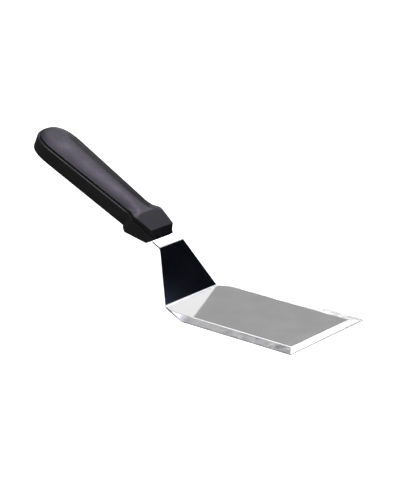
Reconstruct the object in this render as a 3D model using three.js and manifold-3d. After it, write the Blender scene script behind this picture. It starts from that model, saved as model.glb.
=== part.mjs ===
// Offset spatula: a one-piece stainless blade, riser and tang, screwed into a two-shell plastic handle.
// Frame: origin at the middle of the blade's flat underside, +X towards the blade's tip, +Y across it,
// +Z up. Millimetres. The handle is built in a group of its own, which has its origin on the top face of
// the tang at the upper bend: there -X runs back along the handle and +Z stands off the tang.

import * as THREE from 'three';
import { mergeVertices } from 'three/addons/utils/BufferGeometryUtils.js';
import Module from 'manifold-3d';

const wasm = await Module();
wasm.setup();

// Blade, riser and tang: one sheet of steel
const STEEL = 1.2;               // sheet thickness
const BLADE_LENGTH = 110;        // lower bend to front edge
const BLADE_HALF_WIDTH = 38.1;
const BEND_HALF_WIDTH = 26;      // half the width at the lower bend
const FLARE_LENGTH = 23.6;       // lower bend to where the blade is at its full width
const CORNER_RADIUS = 1.2;       // front corners
const SIDE_GRIND = 8.3;          // width of the ground edge along each side
const FRONT_GRIND = 6;           // width of the ground edge across the front
const GROUND_EDGE = 0.5;         // thickness that the grinding leaves at the edge
const RISER_RUN = 17.2;          // how far the riser goes back
const RISER_RISE = 32.6;         // how far it goes up
const NECK_HALF_WIDTH = 11.45;   // riser at the upper bend, and the tang in front of its shoulders
const BEND_RADIUS = 2.2;         // inside radius of the lower bend, and outside radius of the upper one
const BEND_STEPS = 6;
const TANG_LENGTH = 84;          // upper bend to the tang's hidden end
const TANG_HALF_WIDTH = 7;       // the hidden part, behind the shoulders that stop at the bolster
const TANG_ROUND = 3;            // corners of the hidden end

// Handle: distances back from the upper bend, half widths, and heights off the tang's top face
const HANDLE_ANGLE = THREE.MathUtils.degToRad(25.2);
const NOSE = 7.7;                // front of the bolster, level with the tang
const BOLSTER_FRONT = 11.1;      // where the bolster's top and bottom faces start
const BOLSTER_WIDE = 26.4;       // widest place of the bolster, at its top
const BOLSTER_BACK = 31.2;       // where the bolster meets the grip, at its top
const BOLSTER_LEAN = 1.8;        // both places lie this much further back at the bottom
const GRIP_LEVEL_START = 42.3;   // where the grip reaches its full height
const GRIP_WIDE = 106.4;         // widest place of the grip, where its round end starts
const BUTT = 127;                // back end
const NOSE_HALF = 9.4;
const FRONT_HALF = 11.6;
const WIDE_HALF = 14.2;
const BACK_HALF = 11.3;
const GRIP_HALF = 15;
const BUTT_POWER = 2.6;          // squareness of the round end: 2 is an ellipse
const BUTT_STEPS = 12;
const NOSE_TIP = 0.9;            // half thickness of the bolster's front edge
const FRONT_TOP = 5.2;
const WIDE_TOP = 7;
const GRIP_TOP = 7.4;
const BUTT_TOP = 5.8;
const FRONT_BOTTOM = -4.9;
const WIDE_BOTTOM = -8;
const BACK_BOTTOM = -6.9;
const BUTT_BOTTOM = -6.4;
const BUTT_ROUND = 2;            // under the back end

// How far the grip's and the bolster's outlines are drawn in at each height, which rounds their edges.
// The grip's rim rolls in up to the seam, and above the seam the cover's edge stands up out of a groove.
const GRIP_LEVELS = [
  { inset: 2.4, height: -7.5 },
  { inset: 0.7, height: -6.8 },
  { inset: 0, height: -5.2 },
  { inset: 0, height: 3 },
  { inset: 0.3, height: 3.7 },
  { inset: 1, height: 4.05 },
  { inset: 0.5, height: 4.25 },
  { inset: 0.5, height: 5.45 },
  { inset: 2, height: 5.95 },
  { inset: 4, height: 6.5 },
  { inset: 6.2, height: 7 },
  { inset: 8, height: 7.3 },
];
const BOLSTER_LEVELS = [
  { inset: 0.4, height: -8 },
  { inset: 0, height: -7.6 },
  { inset: 0, height: 6.2 },
  { inset: 0.5, height: 7 },
];
const BOLSTER_SLOPE_END = 39;    // where the bolster's rear slope has run down into the grip

// Shells
const PARTING = 4.15;            // height of the seam along the grip
const GAP = 0.3;                 // clearance between pieces that meet
const COVER_INSET = 0.7;         // the cover sits this far inside the body's rim
const WALL = 2.3;
const FLOOR = -4.4;              // inside floor of the body
const CAVITY_START = 36;
const SKIRT = 1.4;               // wall of the cover's locating skirt
const SKIRT_BOTTOM = 2.4;
const SIDE_CLEARANCE = 0.4;      // between the tang's edges and its slot

// Fasteners
const SCREW_PLACES = [44, 70];
const PIN_PLACES = [94, 113];
const SCREW_RADIUS = 1.5;
const SCREW_LENGTH = 5.2;        // below the head
const HEAD_RADIUS = 2.9;
const HEAD_HEIGHT = 1.9;
const DRIVE_SLOT = 0.7;
const DRIVE_DEPTH = 0.9;
const DRIVE_ARM = 1.8;           // from the middle of the head to the end of a slot
const HOLE_RADIUS = 1.9;         // in the tang and in the bosses
const BOSS_RADIUS = 4;
const PIN_RADIUS = 1.6;
const PIN_BOTTOM = -2.5;
const SOCKET_TOP = 1.6;
const ROUND_SIDES = 24;
const REACH = 150;               // longer than any piece, for cutting tools
const OVERLAP = 1;               // how far joined solids and cutting tools run into or past each other
const MERGE_DISTANCE = 1e-4;     // points closer than this become one
const ON_AXIS = 1e-6;            // points closer than this to the middle plane lie on it

const steel = new THREE.MeshStandardMaterial({ color: 0xb9b9bb, roughness: 0.12, metalness: 1 });
const zinc = new THREE.MeshStandardMaterial({ color: 0x9a9a9c, roughness: 0.35, metalness: 1 });
const bodyPlastic = new THREE.MeshStandardMaterial({ color: 0x121113, roughness: 0.42, metalness: 0 });
const coverPlastic = new THREE.MeshStandardMaterial({ color: 0x1a191c, roughness: 0.38, metalness: 0 });

// Booleans ------------------------------------------------------------------------------------------

function toSolid(geometry) {
  geometry.deleteAttribute('normal');
  geometry.deleteAttribute('uv');
  const merged = mergeVertices(geometry, MERGE_DISTANCE);
  const vertProperties = Float32Array.from(merged.attributes.position.array);
  const triVerts = Uint32Array.from(merged.index.array);
  return new wasm.Manifold(new wasm.Mesh({ numProp: 3, vertProperties, triVerts }));
}

function toMesh(name, solid, material) {
  const result = solid.getMesh();
  const geometry = new THREE.BufferGeometry();
  geometry.setAttribute('position', new THREE.BufferAttribute(result.vertProperties, 3));
  geometry.setIndex(new THREE.BufferAttribute(result.triVerts, 1));
  geometry.computeVertexNormals();
  const mesh = new THREE.Mesh(geometry, material);
  mesh.name = name;
  return mesh;
}

// Basic shapes --------------------------------------------------------------------------------------

// A plan outline in X and Y, from z = bottom to z = top.
function upright(points, bottom, top) {
  const depth = top - bottom;
  const geometry = new THREE.ExtrudeGeometry(new THREE.Shape(points), { depth, bevelEnabled: false });
  geometry.translate(0, 0, bottom);
  return toSolid(geometry);
}

// A side outline in X and Z, centred across Y.
function across(points, halfWidth) {
  const depth = 2 * halfWidth;
  const geometry = new THREE.ExtrudeGeometry(new THREE.Shape(points), { depth, bevelEnabled: false });
  geometry.rotateX(Math.PI / 2);
  geometry.translate(0, halfWidth, 0);
  return toSolid(geometry);
}

function post(x, radius, bottom, top) {
  const geometry = new THREE.CylinderGeometry(radius, radius, top - bottom, ROUND_SIDES);
  geometry.rotateX(Math.PI / 2);
  geometry.translate(x, 0, (bottom + top) / 2);
  return toSolid(geometry);
}

function block(x0, x1, halfWidth, bottom, top) {
  const geometry = new THREE.BoxGeometry(x1 - x0, 2 * halfWidth, top - bottom);
  geometry.translate((x0 + x1) / 2, 0, (bottom + top) / 2);
  return toSolid(geometry);
}

const at = (x, y) => new THREE.Vector2(x, y);

// Mirrors half an outline, given from front to back on the +Y side, into a whole one.
function mirrored(half) {
  const other = half.map((point) => at(point.x, -point.y)).reverse();
  const onAxis = (point) => Math.abs(point.y) < ON_AXIS;
  return [...half, ...other.filter((point) => !onAxis(point))];
}

// Blade ---------------------------------------------------------------------------------------------

const BEND_X = -BLADE_LENGTH / 2;
const TIP_X = BLADE_LENGTH / 2;
const UPPER_BEND = new THREE.Vector3(BEND_X - RISER_RUN, 0, STEEL + RISER_RISE);

// The line of the sheet's top face from tip to tang end, with both bends rounded.
function sheetTop(offset) {
  const riser = Math.atan2(RISER_RISE, -RISER_RUN);
  const tang = Math.PI - HANDLE_ANGLE;
  const corners = [
    { x: BEND_X, z: STEEL, from: Math.PI, to: riser, side: 1, radius: BEND_RADIUS },
    { x: UPPER_BEND.x, z: UPPER_BEND.z, from: riser, to: tang, side: -1, radius: BEND_RADIUS },
  ];
  const points = [at(TIP_X, STEEL - offset)];
  for (const corner of corners) {
    points.push(...roundedBend(corner, offset));
  }
  points.push(at(
    UPPER_BEND.x + TANG_LENGTH * Math.cos(tang) - offset * Math.sin(HANDLE_ANGLE),
    UPPER_BEND.z + TANG_LENGTH * Math.sin(tang) - offset * Math.cos(HANDLE_ANGLE),
  ));
  return points;
}

// One bend as an arc. Side is 1 where the sheet turns up and -1 where it turns back down; offset is the
// distance below the top face.
function roundedBend({ x, z, from, to, side, radius }, offset) {
  const half = Math.abs(from - to) / 2;
  const back = radius * Math.tan(half);
  const centreX = x - back * Math.cos(from) + side * radius * Math.sin(from);
  const centreZ = z - back * Math.sin(from) - side * radius * Math.cos(from);
  const reach = radius + side * offset;
  const points = [];
  for (let step = 0; step <= BEND_STEPS; step += 1) {
    const heading = from + ((to - from) * step) / BEND_STEPS;
    points.push(at(
      centreX - side * reach * Math.sin(heading),
      centreZ + side * reach * Math.cos(heading),
    ));
  }
  return points;
}

// Plan outline of the whole sheet, seen from above.
function sheetPlan() {
  const back = (distance) => UPPER_BEND.x - distance * Math.cos(HANDLE_ANGLE);
  const cornerSag = CORNER_RADIUS * (1 - Math.SQRT1_2);
  return mirrored([
    at(TIP_X, BLADE_HALF_WIDTH - CORNER_RADIUS),
    at(TIP_X - cornerSag, BLADE_HALF_WIDTH - cornerSag),
    at(TIP_X - CORNER_RADIUS, BLADE_HALF_WIDTH),
    at(BEND_X + FLARE_LENGTH, BLADE_HALF_WIDTH),
    at(BEND_X, BEND_HALF_WIDTH),
    at(UPPER_BEND.x, NECK_HALF_WIDTH),
    at(back(NOSE - GAP), NECK_HALF_WIDTH),
    at(back(NOSE - GAP), TANG_HALF_WIDTH),
    at(back(TANG_LENGTH - TANG_ROUND), TANG_HALF_WIDTH),
    at(back(TANG_LENGTH), TANG_HALF_WIDTH - TANG_ROUND),
  ]);
}

// A wedge above the ground face of one edge, in the plane across that edge: it starts at the inner
// line of the grinding and drops to the ground edge.
function grindOutline(width) {
  const drop = STEEL - GROUND_EDGE;
  return [at(-width, STEEL), at(width, STEEL - 2 * drop), at(width, 2 * STEEL), at(-width, 2 * STEEL)];
}

function frontGrind() {
  const points = grindOutline(FRONT_GRIND).map((point) => at(point.x + TIP_X, point.y));
  return across(points, BLADE_HALF_WIDTH + FRONT_GRIND);
}

function sideGrind(side) {
  const length = BLADE_LENGTH + FRONT_GRIND;
  const geometry = new THREE.ExtrudeGeometry(new THREE.Shape(grindOutline(SIDE_GRIND)), {
    depth: length,
    bevelEnabled: false,
  });
  geometry.rotateX(Math.PI / 2);
  geometry.rotateZ((side * Math.PI) / 2);
  geometry.translate(BEND_X + (side > 0 ? 0 : length), side * BLADE_HALF_WIDTH, 0);
  return toSolid(geometry);
}

function makeBlade() {
  const strip = across([...sheetTop(0), ...sheetTop(STEEL).reverse()], BLADE_HALF_WIDTH + OVERLAP);
  const plan = upright(sheetPlan(), -REACH, REACH);
  let sheet = strip.intersect(plan);
  for (const tool of [frontGrind(), sideGrind(1), sideGrind(-1)]) {
    sheet = sheet.subtract(tool);
  }
  for (const place of SCREW_PLACES) {
    const hole = post(-place, HOLE_RADIUS, -2 * STEEL, STEEL);
    sheet = sheet.subtract(intoObjectFrame(hole));
  }
  return toMesh('blade', sheet, steel);
}

function intoObjectFrame(solid) {
  const matrix = new THREE.Matrix4().makeRotationY(HANDLE_ANGLE).setPosition(UPPER_BEND);
  return solid.transform(matrix.toArray());
}

// Handle --------------------------------------------------------------------------------------------

// Half the plan outline of the handle from nose to butt at the given height, drawn in by inset.
function handleHalf(inset, height = WIDE_TOP) {
  const lean = (BOLSTER_LEAN * (WIDE_TOP - height)) / (WIDE_TOP - WIDE_BOTTOM);
  const points = [
    at(-NOSE - inset, 0),
    at(-NOSE - inset, NOSE_HALF - inset),
    at(-BOLSTER_FRONT - inset, FRONT_HALF - inset),
    at(-BOLSTER_WIDE - lean, WIDE_HALF - inset),
    at(-BOLSTER_BACK - lean, BACK_HALF - inset),
  ];
  const length = BUTT - GRIP_WIDE - inset;
  for (let step = 0; step <= BUTT_STEPS; step += 1) {
    const turn = ((Math.PI / 2) * step) / BUTT_STEPS;
    const along = Math.sin(turn) ** (2 / BUTT_POWER);
    const aside = Math.max(0, Math.cos(turn)) ** (2 / BUTT_POWER);
    points.push(at(-GRIP_WIDE - length * along, (GRIP_HALF - inset) * aside));
  }
  points[points.length - 1].y = 0;
  return points;
}

// The handle's outline stacked up through the levels, with a flat cap at the bottom and the top.
function stacked(levels, extraInset) {
  const rings = levels.map(({ inset, height }) => mirrored(handleHalf(inset + extraInset, height)));
  const count = rings[0].length;
  const positions = rings.flatMap((ring, k) => (
    ring.flatMap((point) => [point.x, point.y, levels[k].height])
  ));
  const cap = (ring) => THREE.ShapeUtils.triangulateShape(ring, []);
  const indices = cap(rings[0]).flatMap(([a, b, c]) => [c, b, a]);
  for (let k = 0; k + 1 < rings.length; k += 1) {
    for (let i = 0; i < count; i += 1) {
      const [low, lowNext] = [k * count + i, k * count + ((i + 1) % count)];
      const [high, highNext] = [low + count, lowNext + count];
      indices.push(low, lowNext, highNext, low, highNext, high);
    }
  }
  const top = (rings.length - 1) * count;
  indices.push(...cap(rings.at(-1)).flatMap((face) => face.map((index) => top + index)));
  const geometry = new THREE.BufferGeometry();
  geometry.setAttribute('position', new THREE.Float32BufferAttribute(positions, 3));
  geometry.setIndex(indices);
  return toSolid(geometry);
}

// Side outline: a wedge nose, the bolster that rises to its widest place, and the grip.
function sideOutline() {
  return [
    at(-NOSE, NOSE_TIP),
    at(-BOLSTER_FRONT, FRONT_TOP),
    at(-BOLSTER_WIDE, WIDE_TOP),
    at(-GRIP_LEVEL_START, GRIP_TOP),
    at(-GRIP_WIDE, GRIP_TOP),
    at(-BUTT, BUTT_TOP),
    at(-BUTT, BUTT_BOTTOM + BUTT_ROUND),
    at(-BUTT + BUTT_ROUND, BUTT_BOTTOM),
    at(-BOLSTER_BACK - BOLSTER_LEAN, BACK_BOTTOM),
    at(-BOLSTER_WIDE - BOLSTER_LEAN, WIDE_BOTTOM),
    at(-BOLSTER_FRONT, FRONT_BOTTOM),
    at(-NOSE, -NOSE_TIP),
  ];
}

// Everything below the seam (side = -1) or above it (side = 1). The seam is level along the grip, and
// falls along the bolster to its front edge.
function besideSeam(side) {
  const shift = (side * GAP) / 2;
  const seam = [
    at(0, NOSE_TIP / 2 + shift),
    at(-NOSE, NOSE_TIP / 2 + shift),
    at(-BOLSTER_WIDE, PARTING + shift),
    at(-REACH, PARTING + shift),
  ];
  const far = side * REACH;
  return across([...seam, at(-REACH, far), at(0, far)], REACH);
}

// The rear slope of the bolster, in front of which its sharper edges stand.
function bolsterOutline() {
  return [
    at(0, WIDE_BOTTOM),
    at(0, WIDE_TOP),
    at(-BOLSTER_WIDE, WIDE_TOP),
    at(-BOLSTER_SLOPE_END, PARTING),
    at(-BOLSTER_BACK, PARTING),
    at(-BOLSTER_BACK - BOLSTER_LEAN, WIDE_BOTTOM),
  ];
}

// The whole handle as one block, drawn in by inset.
function handleBlank(inset) {
  const grip = stacked(GRIP_LEVELS, inset);
  const bolster = stacked(BOLSTER_LEVELS, inset).intersect(across(bolsterOutline(), 2 * WIDE_HALF));
  return grip.add(bolster).intersect(across(sideOutline(), 2 * WIDE_HALF));
}

// The way in for the tang, through the bolster and into the grip.
function tangSlot(halfWidth, bottom, top) {
  return block(-CAVITY_START - OVERLAP, 0, halfWidth, bottom, top);
}

// The plan outline drawn in by inset, from the given distance back to the butt.
function gripInside(inset, start, bottom, top) {
  const plan = upright(mirrored(handleHalf(inset)), bottom, top);
  return plan.intersect(block(-REACH, -start, 2 * WIDE_HALF, bottom, top));
}

function makeBody() {
  let body = handleBlank(0).intersect(besideSeam(-1));
  body = body.subtract(gripInside(WALL, CAVITY_START, FLOOR, GRIP_TOP));
  body = body.subtract(tangSlot(TANG_HALF_WIDTH + SIDE_CLEARANCE, -STEEL - GAP, GRIP_TOP));
  for (const place of SCREW_PLACES) {
    body = body.add(post(-place, BOSS_RADIUS, FLOOR - OVERLAP, -STEEL - GAP));
  }
  for (const place of PIN_PLACES) {
    body = body.add(post(-place, BOSS_RADIUS, FLOOR - OVERLAP, SOCKET_TOP));
    body = body.subtract(post(-place, PIN_RADIUS + GAP, PIN_BOTTOM - GAP, GRIP_TOP));
  }
  for (const place of SCREW_PLACES) {
    body = body.subtract(post(-place, HOLE_RADIUS, -SCREW_LENGTH - GAP, GRIP_TOP));
  }
  return toMesh('handle_body', body, bodyPlastic);
}

function makeCover() {
  let cover = handleBlank(COVER_INSET).intersect(besideSeam(1));
  const root = PARTING + OVERLAP;
  const skirtStart = CAVITY_START + GAP;
  const outside = gripInside(WALL + GAP, skirtStart, SKIRT_BOTTOM, root);
  const inside = gripInside(
    WALL + GAP + SKIRT,
    skirtStart - OVERLAP,
    SKIRT_BOTTOM - OVERLAP,
    root + OVERLAP,
  );
  const plug = tangSlot(TANG_HALF_WIDTH, GAP, root).intersect(across(sideOutline(), 2 * WIDE_HALF));
  cover = cover.add(outside.subtract(inside)).add(plug);
  for (const place of PIN_PLACES) {
    cover = cover.add(post(-place, PIN_RADIUS, PIN_BOTTOM, root));
  }
  return toMesh('handle_cover', cover, coverPlastic);
}

function makeScrew(name, place) {
  const top = GAP + HEAD_HEIGHT;
  const head = post(-place, HEAD_RADIUS, GAP, top);
  const shank = post(-place, SCREW_RADIUS, -SCREW_LENGTH, GAP + OVERLAP);
  const slot = (reach, halfWidth) => (
    block(-place - reach, -place + reach, halfWidth, top - DRIVE_DEPTH, top + OVERLAP)
  );
  const slotAlong = slot(DRIVE_ARM, DRIVE_SLOT / 2);
  const slotAcross = slot(DRIVE_SLOT / 2, DRIVE_ARM);
  const screw = head.add(shank).subtract(slotAlong.add(slotAcross));
  return toMesh(name, screw, zinc);
}

// Assembly ------------------------------------------------------------------------------------------

const spatula = new THREE.Group();
spatula.add(makeBlade());

const handle = new THREE.Group();
handle.position.copy(UPPER_BEND);
handle.rotation.y = HANDLE_ANGLE;
handle.add(makeBody(), makeCover());
handle.add(makeScrew('tang_screw_front', SCREW_PLACES[0]));
handle.add(makeScrew('tang_screw_rear', SCREW_PLACES[1]));
spatula.add(handle);

export default spatula;
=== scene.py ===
"""Looks of an offset spatula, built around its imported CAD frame.

The steel sheet and the two handle shells are rebuilt here at full smoothness and replace their CAD nodes.
The two screws stay as packed and get a zinc finish. The tool's lengths are in millimetres, in the CAD
frame: origin at the middle of the blade's flat underside, +X to its front edge, +Y across it, +Z up. The
handle has a frame of its own, at the upper bend on the tang's top face: there s runs back along the
handle. The studio's lengths are in metres.
"""

import math

import bpy
import numpy as np
from mathutils import Matrix, Vector


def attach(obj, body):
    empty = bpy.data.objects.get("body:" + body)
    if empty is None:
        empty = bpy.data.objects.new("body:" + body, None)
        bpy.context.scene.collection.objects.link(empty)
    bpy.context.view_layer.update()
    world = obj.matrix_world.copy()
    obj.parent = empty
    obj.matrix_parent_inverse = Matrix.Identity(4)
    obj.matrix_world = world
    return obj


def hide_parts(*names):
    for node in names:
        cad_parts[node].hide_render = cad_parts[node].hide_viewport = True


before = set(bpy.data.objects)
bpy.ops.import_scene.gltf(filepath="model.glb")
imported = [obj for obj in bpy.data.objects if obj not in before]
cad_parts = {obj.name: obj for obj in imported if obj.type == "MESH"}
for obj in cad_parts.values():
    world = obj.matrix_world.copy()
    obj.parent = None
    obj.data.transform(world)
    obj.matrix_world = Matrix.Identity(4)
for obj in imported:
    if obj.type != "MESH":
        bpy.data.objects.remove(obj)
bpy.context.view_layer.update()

MM = 0.001

# Steel sheet
STEEL = 1.2              # thickness
TIP_X = 55.0             # front edge
BEND_X = -55.0           # lower bend
BLADE_HALF = 38.1        # half width of the blade
BEND_HALF = 26.0         # half width at the lower bend
FLARE = 23.6             # lower bend to where the blade is at its full width
CORNER_RADIUS = 1.2      # front corners
FLARE_RADIUS = 2.5       # corners at both ends of the flare
SIDE_GRIND = 8.3         # width of the ground edge along each side
FRONT_GRIND = 6.0        # width of the ground edge across the front
GRIND_LINE = 0.45        # width of the half-slope facet along the inner side of each side grinding
GRIND_LINE_SHARE = 0.5   # its slope, as a share of the ground edge's
GROUND_EDGE = 0.5        # thickness left at the edge
RISER_RUN = 17.2
RISER_RISE = 32.6
NECK_HALF = 11.45        # half width of the riser at the upper bend
BEND_RADIUS = 2.2
BEND_STEPS = 40
TANG_LENGTH = 84.0       # upper bend to the tang's hidden end
TANG_HALF = 7.0
TANG_ROUND = 3.0
EDGE_BREAK = 0.1         # bevel on all the sheet's edges
EDGE_SEGMENTS = 2
EDGE_ANGLE = 30          # degrees from which an edge counts as one
UPPER_BEND = (BEND_X - RISER_RUN, 0.0, STEEL + RISER_RISE)

# Which faces of the sheet are ground or sheared, by the way they face
SHEARED_LEAN = 0.3       # a sheared face's normal leans at least this far to the side or the front
GROUND_UPRIGHT = 0.98    # a ground face's normal points at least this far up
SIDE_SHARE = 0.75        # and it leans by at least this share of the side grinding's slope
FRONT_SHARE = 0.5        # or by this share of the front grinding's
TIP_ZONE = 1.0           # how far back from the tip the front's sheared faces lie

# Handle, along s
HANDLE_ANGLE = math.radians(25.2)
NOSE = 7.7
BOLSTER_FRONT = 11.1
BOLSTER_WIDE = 26.4
BOLSTER_BACK = 31.2
BOLSTER_LEAN = 1.8       # how much further back the bolster's rear corners lie at the bottom
BOLSTER_SLOPE_END = 39.0
GRIP_LEVEL_START = 42.3
GRIP_WIDE = 106.4        # widest place of the grip, where its round end starts
BUTT = 127.0
BUTT_POWER = 2.6         # squareness of the round end: 2 is an ellipse
STEP_HALF = 1.0          # half the length over which the underside steps from bolster to grip

# Handle, half widths at those places
NOSE_HALF = 9.4
FRONT_HALF = 11.6
WIDE_HALF = 14.2
BACK_HALF = 11.3
GRIP_HALF = 15.0

# Handle, heights off the tang's top face
NOSE_TIP = 0.9
FRONT_TOP = 5.2
WIDE_TOP = 7.0
GRIP_TOP = 7.4
BUTT_TOP = 5.8
FRONT_BOTTOM = -4.9
WIDE_BOTTOM = -8.0
BACK_BOTTOM = -6.9
BUTT_BOTTOM = -6.4
PARTING = 4.15           # height of the seam along the grip
CROWN_EDGE = 5.45        # height of the crown at the cover's edge
CHAMFER_EDGE = 6.2       # height of the bolster's chamfer at the cover's edge
CHAMFER_RISE = 1.6       # how steeply the chamfer rises
THINNEST = 0.05          # the least that the cover's edge stands up

# Handle, roundings. The first three are for the inner corners of a line from nose to butt.
PLAN_ROUNDS = (1.5, 0.8, 2.0)
TOP_ROUNDS = (0.5, 10.0, 10.0, 30.0)
BOTTOM_ROUNDS = (0.5, 1.5, 3.0, 1.5)
BUTT_ROUND = 2.0         # under the back end
GRIP_ROUND = 2.4         # along the grip's bottom edges
GRIP_ROUND_TOP = -5.2
GRIP_ROUND_BOTTOM = -7.5
BOLSTER_ROUND = 0.4      # along the bolster's bottom edges
BOLSTER_ROUND_TOP = -7.6
RIM_ROUND = 0.25         # along the body's rim, at the bolster
GRIP_RIM_ROUND = 1.0     # and along the grip
COVER_ROUND = 0.3        # along the cover's edge
BLEND = 0.35             # width over which two surfaces run into each other
RIDGE_BLEND = 1.1
UNDER_BLEND = 0.25

# Shells
GAP = 0.3                # clearance between pieces that meet
COVER_INSET = 0.7        # the cover sits this far inside the body's rim
GRIP_INSET = 0.5         # and this much further along the grip
GROOVE_START = 31.5      # where that extra inset, the groove, starts
GROOVE_FULL = 37.0       # and where it reaches its full width
WALL = 2.3
FLOOR = -4.4             # inside floor of the body
CAVITY_START = 36.0
SKIRT = 1.4              # wall of the cover's locating skirt
SKIRT_BOTTOM = 2.4
SIDE_CLEARANCE = 0.4     # between the tang's edges and its slot
SCREW_PLACES = (44.0, 70.0)
PIN_PLACES = (94.0, 113.0)
SCREW_LENGTH = 5.2
HOLE_RADIUS = 1.9
BOSS_RADIUS = 4.0
PIN_RADIUS = 1.6
PIN_BOTTOM = -2.5
SOCKET_TOP = 1.6

# Mesh density and tools
ROUND_SIDES = 48
ROUND_STEPS = 6
FINE_STEP = 0.3          # between stations along the bolster
GRIP_STEP = 1.2          # between stations along the grip
BUTT_STEPS = 30
NARROWEST = 10.0         # where the handle's half width is less, the insets shrink with it
REACH = 150.0            # longer than any piece
OVERLAP = 1.0            # how far joined solids and cutting tools run into or past each other
BLADE_SMOOTH = 2         # degrees: edges turning more than this stay sharp
SHELL_SMOOTH = 30

# Distances in from the outline where the shells' faces have points, closest along the rounded edges
INSETS = np.array([
    0, 0.06, 0.14, 0.25, 0.36, 0.5, 0.64, 0.78, 0.92, 1.06, 1.2, 1.34, 1.48, 1.62, 1.76,
    1.95, 2.2, 2.5, 2.85, 3.3, 3.8, 4.4, 5.1, 5.9, 6.8, 7.8, 8.9,
])

# Plastic finish
WEAR_RADIUS = 0.0004     # metres in from an edge over which it wears
WORN_GAIN = 3            # how much lighter worn edges are
CLOUD_ROUGHNESS = 0.04   # roughness varies by this much in soft clouds
GRAIN_ROUGHNESS = 0.03   # and by this much with the grain

# Studio, in metres. Nearer cards cover the cards and flags behind them.
CARD_DISTANCE = 3.0
FRONT_CARD_DISTANCE = 2.9
BACK_CARD_DISTANCE = 3.3
FLAG_DISTANCE = 3.4
DOME_DISTANCE = 6.0
CARD_STEPS = 12
DOME_STEPS = 36
WHITE = (1, 1, 1)
CLOTH_HALF = 3.0
CLOTH_HEIGHT = 0.0001
CLOTH_GLOW = 0.06
FLOOR_HALF = 12.0
FLOOR_HEIGHT = -0.0002
FLOOR_GREY = (0.5, 0.5, 0.5, 1)
FLOOR_GLOW = 0.99

# Camera
CAMERA_PLACE = (683.1, -874.4, 425.9)
CAMERA_DOWN = 18.7       # degrees below level
CAMERA_TURN = 39.9       # degrees round from looking along +Y
CAMERA_LENS = 139.16
CAMERA_SENSOR = 36.0
CAMERA_NEAR = 0.05       # metres, as is the next
CAMERA_FAR = 50.0

HANDLE_FRAME = Matrix.Translation(Vector(UPPER_BEND) * MM) @ Matrix.Rotation(HANDLE_ANGLE, 4, "Y")


# Meshes ----------------------------------------------------------------------------------------------


def new_piece(name, points, faces):
    """A new object from points in millimetres."""
    mesh = bpy.data.meshes.new(name)
    mesh.from_pydata([Vector(p) * MM for p in points], [], faces)
    mesh.update()
    piece = bpy.data.objects.new(name, mesh)
    bpy.context.scene.collection.objects.link(piece)
    return piece


def signed_volume(points, faces):
    """Six times the volume of a closed mesh, negative where its faces point inwards."""
    p = np.asarray(points, float)
    total = 0.0
    for face in faces:
        for i in range(1, len(face) - 1):
            total += np.dot(p[face[0]], np.cross(p[face[i]], p[face[i + 1]]))
    return total


def prism(name, ring, other):
    """A closed solid between two matching rings of points."""
    count = len(ring)
    faces = [tuple(range(count))[::-1], tuple(range(count, 2 * count))]
    faces += [(i, (i + 1) % count, (i + 1) % count + count, i + count) for i in range(count)]
    points = [*ring, *other]
    if signed_volume(points, faces) < 0:
        faces = [face[::-1] for face in faces]
    return new_piece(name, points, faces)


def across(profile, half_width):
    """A side profile in x and z, centred across y."""
    near = [(x, -half_width, z) for x, z in profile]
    far = [(x, half_width, z) for x, z in profile]
    return prism("tool", near, far)


def upright(plan, bottom, top):
    """A plan in x and y, between two heights."""
    low = [(x, y, bottom) for x, y in plan]
    high = [(x, y, top) for x, y in plan]
    return prism("tool", low, high)


def post(s, radius, bottom, top):
    """A round post on the handle's middle line."""
    turns = [2 * math.pi * i / ROUND_SIDES for i in range(ROUND_SIDES)]
    return upright([(-s + radius * math.cos(t), radius * math.sin(t)) for t in turns], bottom, top)


def block(s_front, s_back, half_width, bottom, top):
    """A straight-sided block on the handle's middle line."""
    return across([(-s_front, bottom), (-s_back, bottom), (-s_back, top), (-s_front, top)], half_width)


def settle(piece):
    """Applies the piece's modifiers to its mesh."""
    graph = bpy.context.evaluated_depsgraph_get()
    mesh = bpy.data.meshes.new_from_object(piece.evaluated_get(graph))
    piece.modifiers.clear()
    piece.data = mesh


def combine(piece, tool, operation):
    """Joins the tool to the piece or cuts it from it, and uses the tool up."""
    modifier = piece.modifiers.new("combine", "BOOLEAN")
    modifier.solver = "EXACT"
    modifier.operation = operation
    modifier.object = tool
    settle(piece)
    bpy.data.objects.remove(tool)


def smooth_shade(piece, degrees):
    """Smooth shading, with sharp edges where the surface turns more than the given angle."""
    piece.data.polygons.foreach_set("use_smooth", [True] * len(piece.data.polygons))
    piece.data.set_sharp_from_angle(angle=math.radians(degrees))
    weighted = piece.modifiers.new("weighted", "WEIGHTED_NORMAL")
    weighted.keep_sharp = True


def rounded(corners, radii):
    """A polyline with each inner corner rounded by its radius."""
    points = [tuple(map(float, corners[0]))]
    for before, corner, after, radius in zip(corners, corners[1:], corners[2:], radii):
        a, c, b = (np.array(p, float) for p in (before, corner, after))
        to_a = (a - c) / np.linalg.norm(a - c)
        to_b = (b - c) / np.linalg.norm(b - c)
        half = math.acos(max(-1.0, min(1.0, float(to_a @ to_b)))) / 2
        back = radius / math.tan(half)
        for t in np.linspace(0, 1, ROUND_STEPS + 1):
            p = (1 - t) ** 2 * (c + back * to_a) + 2 * t * (1 - t) * c + t**2 * (c + back * to_b)
            points.append(tuple(p))
    points.append(tuple(map(float, corners[-1])))
    return points


# Blade -----------------------------------------------------------------------------------------------


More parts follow.
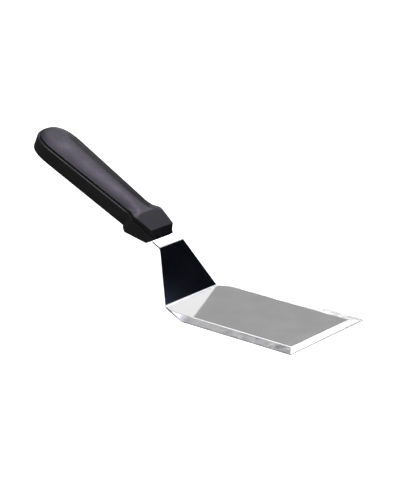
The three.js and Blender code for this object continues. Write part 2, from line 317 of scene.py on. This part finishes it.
def bend(x, z, start, end, side, offset):
    """One bend of the sheet as an arc. Side is 1 where the sheet turns up and -1 where it turns down."""
    back = BEND_RADIUS * math.tan(abs(start - end) / 2)
    centre_x = x - back * math.cos(start) + side * BEND_RADIUS * math.sin(start)
    centre_z = z - back * math.sin(start) - side * BEND_RADIUS * math.cos(start)
    reach = side * (BEND_RADIUS + side * offset)
    headings = np.linspace(start, end, BEND_STEPS + 1)
    return [(centre_x - reach * math.sin(h), centre_z + reach * math.cos(h)) for h in headings]


def sheet_line(offset):
    """The sheet's side line from tip to tang end, the given distance below its top face."""
    riser = math.atan2(RISER_RISE, -RISER_RUN)
    tang = math.pi - HANDLE_ANGLE
    end_x = UPPER_BEND[0] + TANG_LENGTH * math.cos(tang) - offset * math.sin(HANDLE_ANGLE)
    end_z = UPPER_BEND[2] + TANG_LENGTH * math.sin(tang) - offset * math.cos(HANDLE_ANGLE)
    return [
        (TIP_X, STEEL - offset),
        *bend(BEND_X, STEEL, math.pi, riser, 1, offset),
        *bend(UPPER_BEND[0], UPPER_BEND[2], riser, tang, -1, offset),
        (end_x, end_z),
    ]


def sheet_plan():
    """The whole sheet's outline, seen from above."""
    shoulder = UPPER_BEND[0] - (NOSE - GAP) * math.cos(HANDLE_ANGLE)
    end = UPPER_BEND[0] - TANG_LENGTH * math.cos(HANDLE_ANGLE)
    corners = [
        (TIP_X, 0),
        (TIP_X, BLADE_HALF),
        (BEND_X + FLARE, BLADE_HALF),
        (BEND_X, BEND_HALF),
        (UPPER_BEND[0], NECK_HALF),
        (shoulder, NECK_HALF),
        (shoulder, TANG_HALF),
        (end, TANG_HALF),
        (end, 0),
    ]
    radii = [CORNER_RADIUS, FLARE_RADIUS, FLARE_RADIUS, BEND_RADIUS, GAP, GAP, TANG_ROUND]
    half = rounded(corners, radii)
    return [*half, *[(x, -y) for x, y in half[-2:0:-1]]]


def grind_wedge(width, start=0.0, share=1.0):
    """A wedge above a ground face, which starts further in and drops by a share of the full slope."""
    drop = share * (STEEL - GROUND_EDGE)
    inner = -width - start
    end_drop = drop * (2 * width + start) / width
    return [(inner, STEEL), (width, STEEL - end_drop), (width, 2 * STEEL), (inner, 2 * STEEL)]


def make_blade():
    """The sheet: its side line, cut to its plan, ground, drilled and with its edges broken."""
    blade = across([*sheet_line(0), *sheet_line(STEEL)[::-1]], BLADE_HALF + STEEL)
    blade.name = "steel_blade"
    combine(blade, upright(sheet_plan(), -REACH, REACH), "INTERSECT")
    front = [(x + TIP_X, z) for x, z in grind_wedge(FRONT_GRIND)]
    combine(blade, across(front, BLADE_HALF + FRONT_GRIND), "DIFFERENCE")
    for side in (1, -1):
        for wedge in (grind_wedge(SIDE_GRIND), grind_wedge(SIDE_GRIND, GRIND_LINE, GRIND_LINE_SHARE)):
            rear_ring = [(BEND_X, side * (BLADE_HALF + y), z) for y, z in wedge]
            front_ring = [(TIP_X + FRONT_GRIND, y, z) for _, y, z in rear_ring]
            combine(blade, prism("tool", rear_ring, front_ring), "DIFFERENCE")
    for place in SCREW_PLACES:
        hole = post(place, HOLE_RADIUS, -2 * STEEL, STEEL)
        hole.data.transform(HANDLE_FRAME)
        combine(blade, hole, "DIFFERENCE")
    edges = blade.modifiers.new("edges", "BEVEL")
    edges.width = EDGE_BREAK * MM
    edges.segments = EDGE_SEGMENTS
    edges.limit_method = "ANGLE"
    edges.angle_limit = math.radians(EDGE_ANGLE)
    settle(blade)
    return blade


def mark_faces(blade):
    """Gives the ground bands material 1 and the sheet's sheared edges material 2, whose darker colour is
    painted shade. The rest is 0.
    """
    side_tilt = (STEEL - GROUND_EDGE) / SIDE_GRIND
    front_tilt = (STEEL - GROUND_EDGE) / FRONT_GRIND
    for face in blade.data.polygons:
        n = face.normal
        at_tip = face.center.x > (TIP_X - TIP_ZONE) * MM
        on_blade = face.center.x > BEND_X * MM
        slopes = abs(n.y) > SIDE_SHARE * side_tilt or n.x > FRONT_SHARE * front_tilt
        if abs(n.y) > SHEARED_LEAN or (at_tip and n.x > SHEARED_LEAN):
            face.material_index = 2
        elif on_blade and slopes and n.z > GROUND_UPRIGHT:
            face.material_index = 1


# Handle ----------------------------------------------------------------------------------------------


def smooth_min(a, b, width=BLEND):
    """The lower of two surfaces, which run into each other over a width."""
    h = np.clip(0.5 + 0.5 * (b - a) / width, 0, 1)
    return b * (1 - h) + a * h - width * h * (1 - h)


def smooth_max(a, b, width=BLEND):
    """The higher of two surfaces, which run into each other over a width."""
    return -smooth_min(-a, -b, width)


def side_plan():
    """Half width of the handle along s, up to where the round end starts."""
    corners = [
        (NOSE, NOSE_HALF),
        (BOLSTER_FRONT, FRONT_HALF),
        (BOLSTER_WIDE, WIDE_HALF),
        (BOLSTER_BACK, BACK_HALF),
        (GRIP_WIDE, GRIP_HALF),
    ]
    return np.array(rounded(corners, PLAN_ROUNDS))


def ease(s, start, end):
    """A smooth step from 0 at start to 1 at end."""
    t = np.clip((s - start) / (end - start), 0, 1)
    return t**2 * (3 - 2 * t)


def outline(inset, grip_inset=0.0):
    """Stations along s and the half width at each, for the plan outline drawn in by inset.

    The grip behind the bolster is drawn in by grip_inset on top of that.
    """
    plan = side_plan()
    start = NOSE + inset
    fine = np.arange(start, GRIP_LEVEL_START, FINE_STEP)
    grip = np.arange(GRIP_LEVEL_START, GRIP_WIDE, GRIP_STEP)
    s = np.concatenate([fine, grip])
    half = np.interp(s - inset * (s < BOLSTER_FRONT), plan[:, 0], plan[:, 1]) - inset
    half -= grip_inset * ease(s, GROOVE_START, GROOVE_FULL)
    turn = np.linspace(0, math.pi / 2, BUTT_STEPS + 1)
    drawn_in = inset + grip_inset
    round_s = GRIP_WIDE + (BUTT - GRIP_WIDE - drawn_in) * np.sin(turn) ** (2 / BUTT_POWER)
    round_half = (GRIP_HALF - drawn_in) * np.abs(np.cos(turn)) ** (2 / BUTT_POWER)
    round_half[-1] = 0
    return np.concatenate([s, round_s]), np.concatenate([half, round_half])


def plan_ring(inset, start):
    """The closed plan outline in x and y drawn in by inset, from s = start back."""
    s, half = outline(inset)
    keep = s > start
    side = [(start, float(np.interp(start, s, half)))]
    side += list(zip(s[keep].tolist(), half[keep].tolist()))
    ring = [(-a, b) for a, b in side]
    return [*ring, *[(x, -y) for x, y in ring[::-1] if y > 0]]


def distance_to(points, line):
    """How far each point is from a polyline."""
    a, b = line[:-1], line[1:]
    run = b - a
    offset = points[..., None, :] - a
    t = np.clip((offset * run).sum(-1) / (run**2).sum(-1), 0, 1)
    return np.linalg.norm(offset - t[..., None] * run, axis=-1).min(-1)


def polyline_height(corners, radii, s):
    """The height at s of a rounded polyline."""
    line = np.array(rounded(corners, radii))
    return np.interp(s, line[:, 0], line[:, 1])


def top_line(s):
    """The handle's top along its middle."""
    corners = [
        (NOSE, NOSE_TIP),
        (BOLSTER_FRONT, FRONT_TOP),
        (BOLSTER_WIDE, WIDE_TOP),
        (GRIP_LEVEL_START, GRIP_TOP),
        (GRIP_WIDE, GRIP_TOP),
        (BUTT, BUTT_TOP),
    ]
    return polyline_height(corners, TOP_ROUNDS, s)


def bottom_line(s):
    """The handle's underside along its middle."""
    corners = [
        (NOSE, -NOSE_TIP),
        (BOLSTER_FRONT, FRONT_BOTTOM),
        (BOLSTER_WIDE + BOLSTER_LEAN, WIDE_BOTTOM),
        (BOLSTER_BACK + BOLSTER_LEAN, BACK_BOTTOM),
        (BUTT - BUTT_ROUND, BUTT_BOTTOM),
        (BUTT, BUTT_BOTTOM + BUTT_ROUND),
    ]
    return polyline_height(corners, BOTTOM_ROUNDS, s)


def seam_line(s):
    """The middle of the seam's gap."""
    return np.interp(s, [NOSE, BOLSTER_WIDE], [NOSE_TIP / 2, PARTING])


def crown(s, inset):
    """The grip's cross-section: an arch over its upstanding edge."""
    half = np.interp(s, [BOLSTER_BACK, GRIP_WIDE], [BACK_HALF, GRIP_HALF]) - COVER_INSET - GRIP_INSET
    u = 1 - np.clip(inset / half, 0, 1)
    return CROWN_EDGE + (GRIP_TOP - CROWN_EDGE) * (1 - u**2)


def bolster_top(s, inset):
    """The bolster's top face with its side chamfers and the slope behind it."""
    chamfer = CHAMFER_EDGE + CHAMFER_RISE * inset
    slope = (WIDE_TOP - PARTING) / (BOLSTER_SLOPE_END - BOLSTER_WIDE)
    ridge = WIDE_TOP - slope * (s - BOLSTER_WIDE)
    flat = np.full_like(s, WIDE_TOP)
    return smooth_min(chamfer, smooth_min(flat, ridge, RIDGE_BLEND))


def cover_top(s, inset):
    """The cover's outer face: crown and bolster in one, under the handle's top line."""
    hump = smooth_max(crown(s, inset), bolster_top(s, inset), RIDGE_BLEND)
    top = smooth_min(hump, top_line(s)) - quarter_round(inset, COVER_ROUND)
    return np.maximum(top, cover_bottom(s, inset) + THINNEST)


def cover_bottom(s, inset):
    """The cover's side of the seam, the same at every inset."""
    return seam_line(s) + GAP / 2


def quarter_round(inset, radius):
    """How far a rounded edge falls away at a distance in from it."""
    gap = np.clip(radius - inset, 0, radius)
    return radius - np.sqrt(radius**2 - gap**2)


def body_top(s, inset):
    """The body's side of the seam, with its rounded rim."""
    radius = RIM_ROUND + (GRIP_RIM_ROUND - RIM_ROUND) * ease(s, GROOVE_START, GROOVE_FULL)
    return seam_line(s) - GAP / 2 - quarter_round(inset, radius)


def rolled_under(inset, radius, top, bottom):
    """A rounded bottom edge, from its top at the outline to its bottom one radius in."""
    return top + (bottom - top) * (1 - quarter_round(inset, radius) / radius)


def body_bottom(s, inset):
    """The body's underside: rounded along both sides, above the handle's bottom line."""
    grip = rolled_under(inset, GRIP_ROUND, GRIP_ROUND_TOP, GRIP_ROUND_BOTTOM)
    bolster = rolled_under(inset, BOLSTER_ROUND, BOLSTER_ROUND_TOP, WIDE_BOTTOM)
    share = ease(s, BOLSTER_BACK - STEP_HALF, BOLSTER_BACK + STEP_HALF)
    under = bolster * (1 - share) + grip * share
    return smooth_max(under, bottom_line(s), UNDER_BLEND)


def leaning(s, z):
    """Moves the bolster's rear corners back as they go down."""
    share = np.interp(s, [BOLSTER_FRONT, BOLSTER_WIDE, BOLSTER_BACK, GRIP_LEVEL_START], [0, 1, 1, 0])
    return s + BOLSTER_LEAN * share * (WIDE_TOP - z) / (WIDE_TOP - WIDE_BOTTOM)


def shell_block(name, inset, grip_inset, low, high):
    """A closed block between two height functions over the handle's plan outline.

    Each layer is a grid with a row of points across the handle at each station, and all the rows but the
    last are kept: at the butt the grid ends in one point.
    """
    s, half = outline(inset, grip_inset)
    shrink = np.minimum(1, half / NARROWEST)[:, None]
    columns = half[:, None] - INSETS * shrink
    columns = np.concatenate([columns, np.zeros((len(s), 1))], axis=1)
    stations = np.repeat(s[:, None], columns.shape[1], axis=1)
    line = np.stack([s, half], axis=1)
    inward = distance_to(np.stack([stations, columns], axis=-1), line)
    y = np.concatenate([columns, -columns[:, -2::-1]], axis=1)
    rows, width = y.shape
    last = rows - 1
    layer = last * width
    points, ends = [], []
    for height in (high, low):
        z = height(stations, inward)
        x = -leaning(stations, z)
        ends.append((x[-1, 0], 0, z[-1, -1]))
        grid = [np.concatenate([part, part[:, -2::-1]], axis=1) for part in (x, z)]
        points += np.stack([grid[0], y, grid[1]], axis=-1)[:-1].reshape(-1, 3).tolist()
    points += ends
    end_top, end_bottom = 2 * layer, 2 * layer + 1
    faces = []
    for i in range(last - 1):
        for j in range(width - 1):
            a = i * width + j
            b = a + width
            faces.append((a, a + 1, b + 1, b))
            faces.append((layer + a, layer + b, layer + b + 1, layer + a + 1))
        for j, flip in ((0, False), (width - 1, True)):
            a = i * width + j
            wall = (a, a + width, layer + a + width, layer + a)
            faces.append(wall[::-1] if flip else wall)
    tail = (last - 1) * width
    for j in range(width - 1):
        faces.append((j + 1, j, layer + j, layer + j + 1))
        faces.append((tail + j, tail + j + 1, end_top))
        faces.append((layer + tail + j + 1, layer + tail + j, end_bottom))
    faces.append((tail, end_top, end_bottom, layer + tail))
    faces.append((end_top, tail + width - 1, layer + tail + width - 1, end_bottom))
    if signed_volume(points, faces) < 0:
        faces = [face[::-1] for face in faces]
    return new_piece(name, points, faces)


def make_body():
    """The lower shell, with its cavity, the tang's slot, the screw bosses and the pin sockets."""
    body = shell_block("handle_shell", 0, 0, body_bottom, body_top)
    combine(body, upright(plan_ring(WALL, CAVITY_START), FLOOR, GRIP_TOP), "DIFFERENCE")
    slot_half = TANG_HALF + SIDE_CLEARANCE
    combine(body, block(0, CAVITY_START + OVERLAP, slot_half, -STEEL - GAP, GRIP_TOP), "DIFFERENCE")
    for place in SCREW_PLACES:
        combine(body, post(place, BOSS_RADIUS, FLOOR - OVERLAP, -STEEL - GAP), "UNION")
        combine(body, post(place, HOLE_RADIUS, -SCREW_LENGTH - GAP, GRIP_TOP), "DIFFERENCE")
    for place in PIN_PLACES:
        combine(body, post(place, BOSS_RADIUS, FLOOR - OVERLAP, SOCKET_TOP), "UNION")
        combine(body, post(place, PIN_RADIUS + GAP, PIN_BOTTOM - GAP, GRIP_TOP), "DIFFERENCE")
    body.data.transform(HANDLE_FRAME)
    return body


def make_cover():
    """The upper shell, with its locating skirt, the plug over the tang's slot and the pins."""
    cover = shell_block("handle_lid", COVER_INSET, GRIP_INSET, cover_bottom, cover_top)
    root = PARTING + OVERLAP
    start = CAVITY_START + GAP
    skirt = upright(plan_ring(WALL + GAP, start), SKIRT_BOTTOM, root)
    inside_plan = plan_ring(WALL + GAP + SKIRT, start - OVERLAP)
    inside = upright(inside_plan, SKIRT_BOTTOM - OVERLAP, root + OVERLAP)
    combine(skirt, inside, "DIFFERENCE")
    combine(cover, skirt, "UNION")
    front = NOSE + COVER_INSET
    plug = [
        (-CAVITY_START - OVERLAP, GAP),
        (-front, GAP),
        (-front, NOSE_TIP),
        (-BOLSTER_FRONT, FRONT_TOP - OVERLAP),
        (-CAVITY_START - OVERLAP, root),
    ]
    combine(cover, across(plug, TANG_HALF), "UNION")
    for place in PIN_PLACES:
        combine(cover, post(place, PIN_RADIUS, PIN_BOTTOM, root), "UNION")
    cover.data.transform(HANDLE_FRAME)
    return cover


# Materials -------------------------------------------------------------------------------------------


class Finish:
    """A node material around one Principled shader, with short calls for its usual nodes."""

    def __init__(self, name, metallic, specular=None):
        self.material = bpy.data.materials.new(name)
        self.material.use_nodes = True
        self.tree = self.material.node_tree
        self.shader = self.tree.nodes["Principled BSDF"]
        self.shader.inputs["Metallic"].default_value = metallic
        if specular is not None:
            self.shader.inputs["Specular IOR Level"].default_value = specular

    def node(self, kind, **values):
        """A new node with the given settings."""
        made = self.tree.nodes.new(kind)
        for key, value in values.items():
            setattr(made, key, value)
        return made

    def link(self, source, target):
        self.tree.links.new(source, target)

    def place(self, stretch):
        """Object coordinates, scaled along each axis."""
        where = self.node("ShaderNodeTexCoord")
        mapping = self.node("ShaderNodeMapping")
        mapping.inputs["Scale"].default_value = stretch
        self.link(where.outputs["Object"], mapping.inputs["Vector"])
        return mapping.outputs["Vector"]

    def noise(self, stretch, detail=4.0, roughness=0.5):
        """Noise with the given number of cells per metre along x, y and z."""
        made = self.node("ShaderNodeTexNoise")
        made.inputs["Scale"].default_value = 1.0
        made.inputs["Detail"].default_value = detail
        made.inputs["Roughness"].default_value = roughness
        self.link(self.place(stretch), made.inputs["Vector"])
        return made.outputs["Fac"]

    def levels(self, value, low, high, start=0.3, end=0.7):
        """The value, moved from start..end to low..high."""
        made = self.node("ShaderNodeMapRange")
        made.inputs["From Min"].default_value = start
        made.inputs["From Max"].default_value = end
        made.inputs["To Min"].default_value = low
        made.inputs["To Max"].default_value = high
        self.link(value, made.inputs["Value"])
        return made.outputs["Result"]

    def colours(self, value, dark, light, start=0.3, end=0.7):
        """The value, from start to end, as a colour from dark to light."""
        ramp = self.node("ShaderNodeValToRGB")
        stops = ((start, dark), (end, light))
        for element, (position, colour) in zip(ramp.color_ramp.elements, stops):
            element.position = position
            element.color = (*colour, 1)
        self.link(value, ramp.inputs["Fac"])
        return ramp.outputs["Color"]

    def maths(self, operation, a, b):
        """One operation on two values, either of which may be a number."""
        made = self.node("ShaderNodeMath", operation=operation)
        for socket, value in zip(made.inputs, (a, b)):
            if isinstance(value, (int, float)):
                socket.default_value = value
            else:
                self.link(value, socket)
        return made.outputs["Value"]

    def bump(self, height, distance, strength):
        """Relief as deep as the distance, in metres."""
        made = self.node("ShaderNodeBump")
        made.inputs["Distance"].default_value = distance
        made.inputs["Strength"].default_value = strength
        self.link(height, made.inputs["Height"])
        self.link(made.outputs["Normal"], self.shader.inputs["Normal"])

    def edge_wear(self, radius):
        """How much the surface turns within a small radius: 0 on flats, more along edges."""
        bevel = self.node("ShaderNodeBevel", samples=4)
        bevel.inputs["Radius"].default_value = radius
        geometry = self.node("ShaderNodeNewGeometry")
        dot = self.node("ShaderNodeVectorMath", operation="DOT_PRODUCT")
        self.link(bevel.outputs["Normal"], dot.inputs[0])
        self.link(geometry.outputs["Normal"], dot.inputs[1])
        return self.maths("SUBTRACT", 1.0, dot.outputs["Value"])

    def drive(self, socket, source):
        """Links a value or colour to the shader."""
        self.link(source, self.shader.inputs[socket])


def polished_steel():
    """Bright rolled sheet, with fine marks along the rolling direction."""
    finish = Finish("polished_steel", 1.0)
    clouds = finish.noise((60, 60, 60), 3)
    rolling = finish.noise((120, 2400, 2400), 5, 0.6)
    finish.drive("Base Color", finish.colours(clouds, (0.79, 0.79, 0.795), (0.83, 0.83, 0.83)))
    even = finish.levels(clouds, 0.05, 0.08)
    finish.drive("Roughness", finish.maths("ADD", even, finish.levels(rolling, 0, 0.03)))
    finish.bump(rolling, 0.4e-6, 0.25)
    return finish.material


def ground_steel():
    """The ground edges: brighter and less even than the sheet."""
    finish = Finish("ground_steel", 1.0)
    marks = finish.noise((500, 500, 500), 6, 0.7)
    clouds = finish.noise((150, 150, 150), 3)
    finish.drive("Base Color", finish.colours(marks, (0.8, 0.8, 0.81), (0.93, 0.93, 0.93)))
    finish.drive("Roughness", finish.levels(clouds, 0.14, 0.3))
    finish.bump(marks, 4e-6, 0.4)
    return finish.material


def sheared_steel_painted_dark():
    """The sheet's cut edges: dull and torn, with painted shade: their base colour is kept darker than
    steel, for the dark line they show next to the floor.
    """
    finish = Finish("sheared_steel_painted_dark", 1.0)
    tears = finish.noise((900, 900, 4000), 6, 0.7)
    # Painted shade: a base colour far darker than steel, so the cut edges read as a dark line
    finish.drive("Base Color", finish.colours(tears, (0.3, 0.3, 0.31), (0.5, 0.5, 0.5)))
    finish.drive("Roughness", finish.levels(tears, 0.35, 0.55))
    finish.bump(tears, 10e-6, 0.4)
    return finish.material


def moulded_plastic(name, dark, light, rough, specular):
    """Black moulded plastic with a fine grain, a little lighter along worn edges."""
    finish = Finish(name, 0.0, specular)
    clouds = finish.noise((90, 90, 90), 3)
    grain = finish.noise((3500, 3500, 3500), 3, 0.6)
    wear = finish.levels(finish.edge_wear(WEAR_RADIUS), 0, 1, 0.02, 0.25)
    tint = finish.colours(clouds, dark, light)
    worn = finish.node("ShaderNodeMix", data_type="RGBA")
    finish.link(wear, worn.inputs["Factor"])
    finish.link(tint, worn.inputs["A"])
    worn.inputs["B"].default_value = (*[WORN_GAIN * c for c in light], 1)
    finish.drive("Base Color", worn.outputs["Result"])
    even = finish.levels(clouds, rough - CLOUD_ROUGHNESS, rough + CLOUD_ROUGHNESS)
    fine = finish.levels(grain, -GRAIN_ROUGHNESS, GRAIN_ROUGHNESS)
    finish.drive("Roughness", finish.maths("ADD", even, fine))
    finish.bump(grain, 10e-6, 0.3)
    return finish.material


def zinc():
    """Zinc plating with its faint spangle."""
    finish = Finish("zinc_screw", 1.0)
    spangle = finish.node("ShaderNodeTexVoronoi")
    spangle.inputs["Scale"].default_value = 1.0
    finish.link(finish.place((2500, 2500, 2500)), spangle.inputs["Vector"])
    cells = spangle.outputs["Distance"]
    tint = finish.colours(cells, (0.52, 0.52, 0.54), (0.66, 0.66, 0.66), 0.0, 0.8)
    finish.drive("Base Color", tint)
    finish.drive("Roughness", finish.levels(finish.noise((400, 400, 400)), 0.28, 0.42))
    finish.bump(cells, 10e-6, 0.2)
    return finish.material


# Studio ----------------------------------------------------------------------------------------------


# Each card's name, its range of azimuth and of elevation in degrees, its colour, strength and distance.
# The steel mirrors these, so each is there for a surface: the riser mirrors the black flag, the flat of
# the blade the grey card, and so on.
CARDS = (
    ("softbox", (97, 120), (43, 68), (0.82, 0.76, 1), 4.8, CARD_DISTANCE),
    ("flare_card", (92, 99), (46, 53), WHITE, 1.3, FRONT_CARD_DISTANCE),
    ("tang_card", (97, 106), (39.5, 42.9), WHITE, 1.6, CARD_DISTANCE),
    ("top_card", (60, 140), (68.1, 77), (0.8, 0.76, 1), 2.4, CARD_DISTANCE),
    ("rim_card", (-128, -78), (54, 78), (0.95, 0.9, 1), 9.5, CARD_DISTANCE),
    ("front_bevel_card", (117.5, 126), (24.6, 35), WHITE, 2.2, CARD_DISTANCE),
    ("near_line_card", (126.1, 141), (24.6, 27.4), WHITE, 1.7, CARD_DISTANCE),
    ("near_bevel_card", (126.1, 141), (27.5, 34), WHITE, 0.05, CARD_DISTANCE),
    ("triangle_card", (82, 91), (39.5, 48), WHITE, 1.25, CARD_DISTANCE),
    ("bend_card", (66.5, 81.9), (36, 44), WHITE, 1.2, CARD_DISTANCE),
    ("grey_card", (112, 146), (14, 24.5), WHITE, 0.4, CARD_DISTANCE),
    ("far_bevel_card", (122.5, 131), (9.5, 13.9), WHITE, 3.4, CARD_DISTANCE),
    ("blue_card", (43, 48.5), (12, 18.9), (0.5, 0.58, 1), 0.1, BACK_CARD_DISTANCE),
    ("far_flag", (97, 117.4), (-2, 39), WHITE, 0.01, FLAG_DISTANCE),
    ("low_flag", (118.4, 200), (-2, 7.9), WHITE, 0.02, FLAG_DISTANCE),
    ("top_flag", (70, 96.9), (28, 62), WHITE, 0.05, FLAG_DISTANCE),
    ("near_flag", (-150, -60), (26, 56.9), WHITE, 0.03, FLAG_DISTANCE),
    ("black_flag", (30, 66.4), (-2, 32), (0.6, 0.65, 1), 0.006, FLAG_DISTANCE),
)


def glow(name, colour, strength):
    """A material that only gives light."""
    material = bpy.data.materials.new(name)
    material.use_nodes = True
    tree = material.node_tree
    tree.nodes.clear()
    emission = tree.nodes.new("ShaderNodeEmission")
    emission.inputs["Color"].default_value = (*colour, 1)
    emission.inputs["Strength"].default_value = strength
    output = tree.nodes.new("ShaderNodeOutputMaterial")
    tree.links.new(emission.outputs["Emission"], output.inputs["Surface"])
    return material


def direction(azimuth, elevation):
    """The unit vector to a place on the sky, from +X towards +Y and up."""
    a, e = math.radians(azimuth), math.radians(elevation)
    return Vector((math.cos(a) * math.cos(e), math.sin(a) * math.cos(e), math.sin(e)))


def staged(name, points, faces, material):
    """A part of the studio, which isn't part of the object."""
    mesh = bpy.data.meshes.new(name)
    mesh.from_pydata(points, [], faces)
    mesh.materials.append(material)
    made = bpy.data.objects.new(name, mesh)
    bpy.context.scene.collection.objects.link(made)
    return made


def card(name, azimuths, elevations, colour, strength, distance, steps=CARD_STEPS):
    """A studio card: part of a far dome, seen only in reflections and by its light."""
    points = [
        direction(azimuth, elevation) * distance
        for elevation in np.linspace(*elevations, steps + 1)
        for azimuth in np.linspace(*azimuths, steps + 1)
    ]
    width = steps + 1
    faces = [
        (i * width + j, i * width + j + 1, (i + 1) * width + j + 1, (i + 1) * width + j)
        for i in range(steps)
        for j in range(steps)
    ]
    made = staged(name, points, faces, glow(name, colour, strength))
    made.visible_camera = False
    made.visible_shadow = False


def plane(name, half, height, material):
    """A level square of the studio."""
    corners = [(-half, -half, height), (half, -half, height), (half, half, height), (-half, half, height)]
    return staged(name, corners, [(0, 1, 2, 3)], material)


def table_top():
    """The floor's pale matt material, which gives some light of its own."""
    material = bpy.data.materials.new("floor")
    material.use_nodes = True
    shader = material.node_tree.nodes["Principled BSDF"]
    shader.inputs["Base Color"].default_value = FLOOR_GREY
    shader.inputs["Roughness"].default_value = 1.0
    shader.inputs["Specular IOR Level"].default_value = 0.0
    shader.inputs["Emission Color"].default_value = (*WHITE, 1)
    shader.inputs["Emission Strength"].default_value = FLOOR_GLOW
    return material


def make_studio():
    """White surroundings, a pale dome with cards and dark flags, and a white floor.

    A dark cloth just above the floor, which the camera doesn't see, keeps the floor's light out of the
    reflections.
    """
    world = bpy.data.worlds.new("studio")
    bpy.context.scene.world = world
    world.use_nodes = True
    background = world.node_tree.nodes["Background"]
    background.inputs["Color"].default_value = (*WHITE, 1)
    background.inputs["Strength"].default_value = 1.0

    card("dome", (0, 360), (-2, 90), (0.97, 0.98, 1), 0.42, DOME_DISTANCE, DOME_STEPS)
    for row in CARDS:
        card(*row)
    cloth = plane("cloth", CLOTH_HALF, CLOTH_HEIGHT, glow("cloth", WHITE, CLOTH_GLOW))
    cloth.visible_camera = False
    cloth.visible_diffuse = False
    cloth.visible_shadow = False
    plane("floor", FLOOR_HALF, FLOOR_HEIGHT, table_top())


def make_camera():
    """The scene's camera, in front of the tool and above it on its near side."""
    data = bpy.data.cameras.new("camera")
    data.lens = CAMERA_LENS
    data.sensor_width = CAMERA_SENSOR
    data.clip_start = CAMERA_NEAR
    data.clip_end = CAMERA_FAR
    camera = bpy.data.objects.new("camera", data)
    camera.location = Vector(CAMERA_PLACE) * MM
    camera.rotation_euler = (math.radians(90 - CAMERA_DOWN), 0, math.radians(CAMERA_TURN))
    bpy.context.scene.collection.objects.link(camera)
    bpy.context.scene.camera = camera


# Assembly --------------------------------------------------------------------------------------------


def finish_piece(piece, node, materials, smooth_angle):
    """Gives a piece its materials and shading, and puts it in the place of its CAD node."""
    piece.data.materials.clear()
    for material in materials:
        piece.data.materials.append(material)
    smooth_shade(piece, smooth_angle)
    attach(piece, "root")
    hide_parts(node)


make_camera()
make_studio()

blade = make_blade()
blade_finishes = [polished_steel(), ground_steel(), sheared_steel_painted_dark()]
finish_piece(blade, "blade", blade_finishes, BLADE_SMOOTH)
mark_faces(blade)

body_finish = moulded_plastic("body_plastic", (0.004, 0.0036, 0.0036), (0.006, 0.0054, 0.0054), 0.36, 0.5)
finish_piece(make_body(), "handle_body", [body_finish], SHELL_SMOOTH)

cover_finish = moulded_plastic("cover_plastic", (0.003, 0.003, 0.0035), (0.005, 0.0048, 0.0056), 0.32, 0.45)
finish_piece(make_cover(), "handle_cover", [cover_finish], SHELL_SMOOTH)

screw_finish = zinc()
for name in ("tang_screw_front", "tang_screw_rear"):
    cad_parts[name].data.materials[0] = screw_finish

bpy.context.scene.view_settings.view_transform = "Standard"
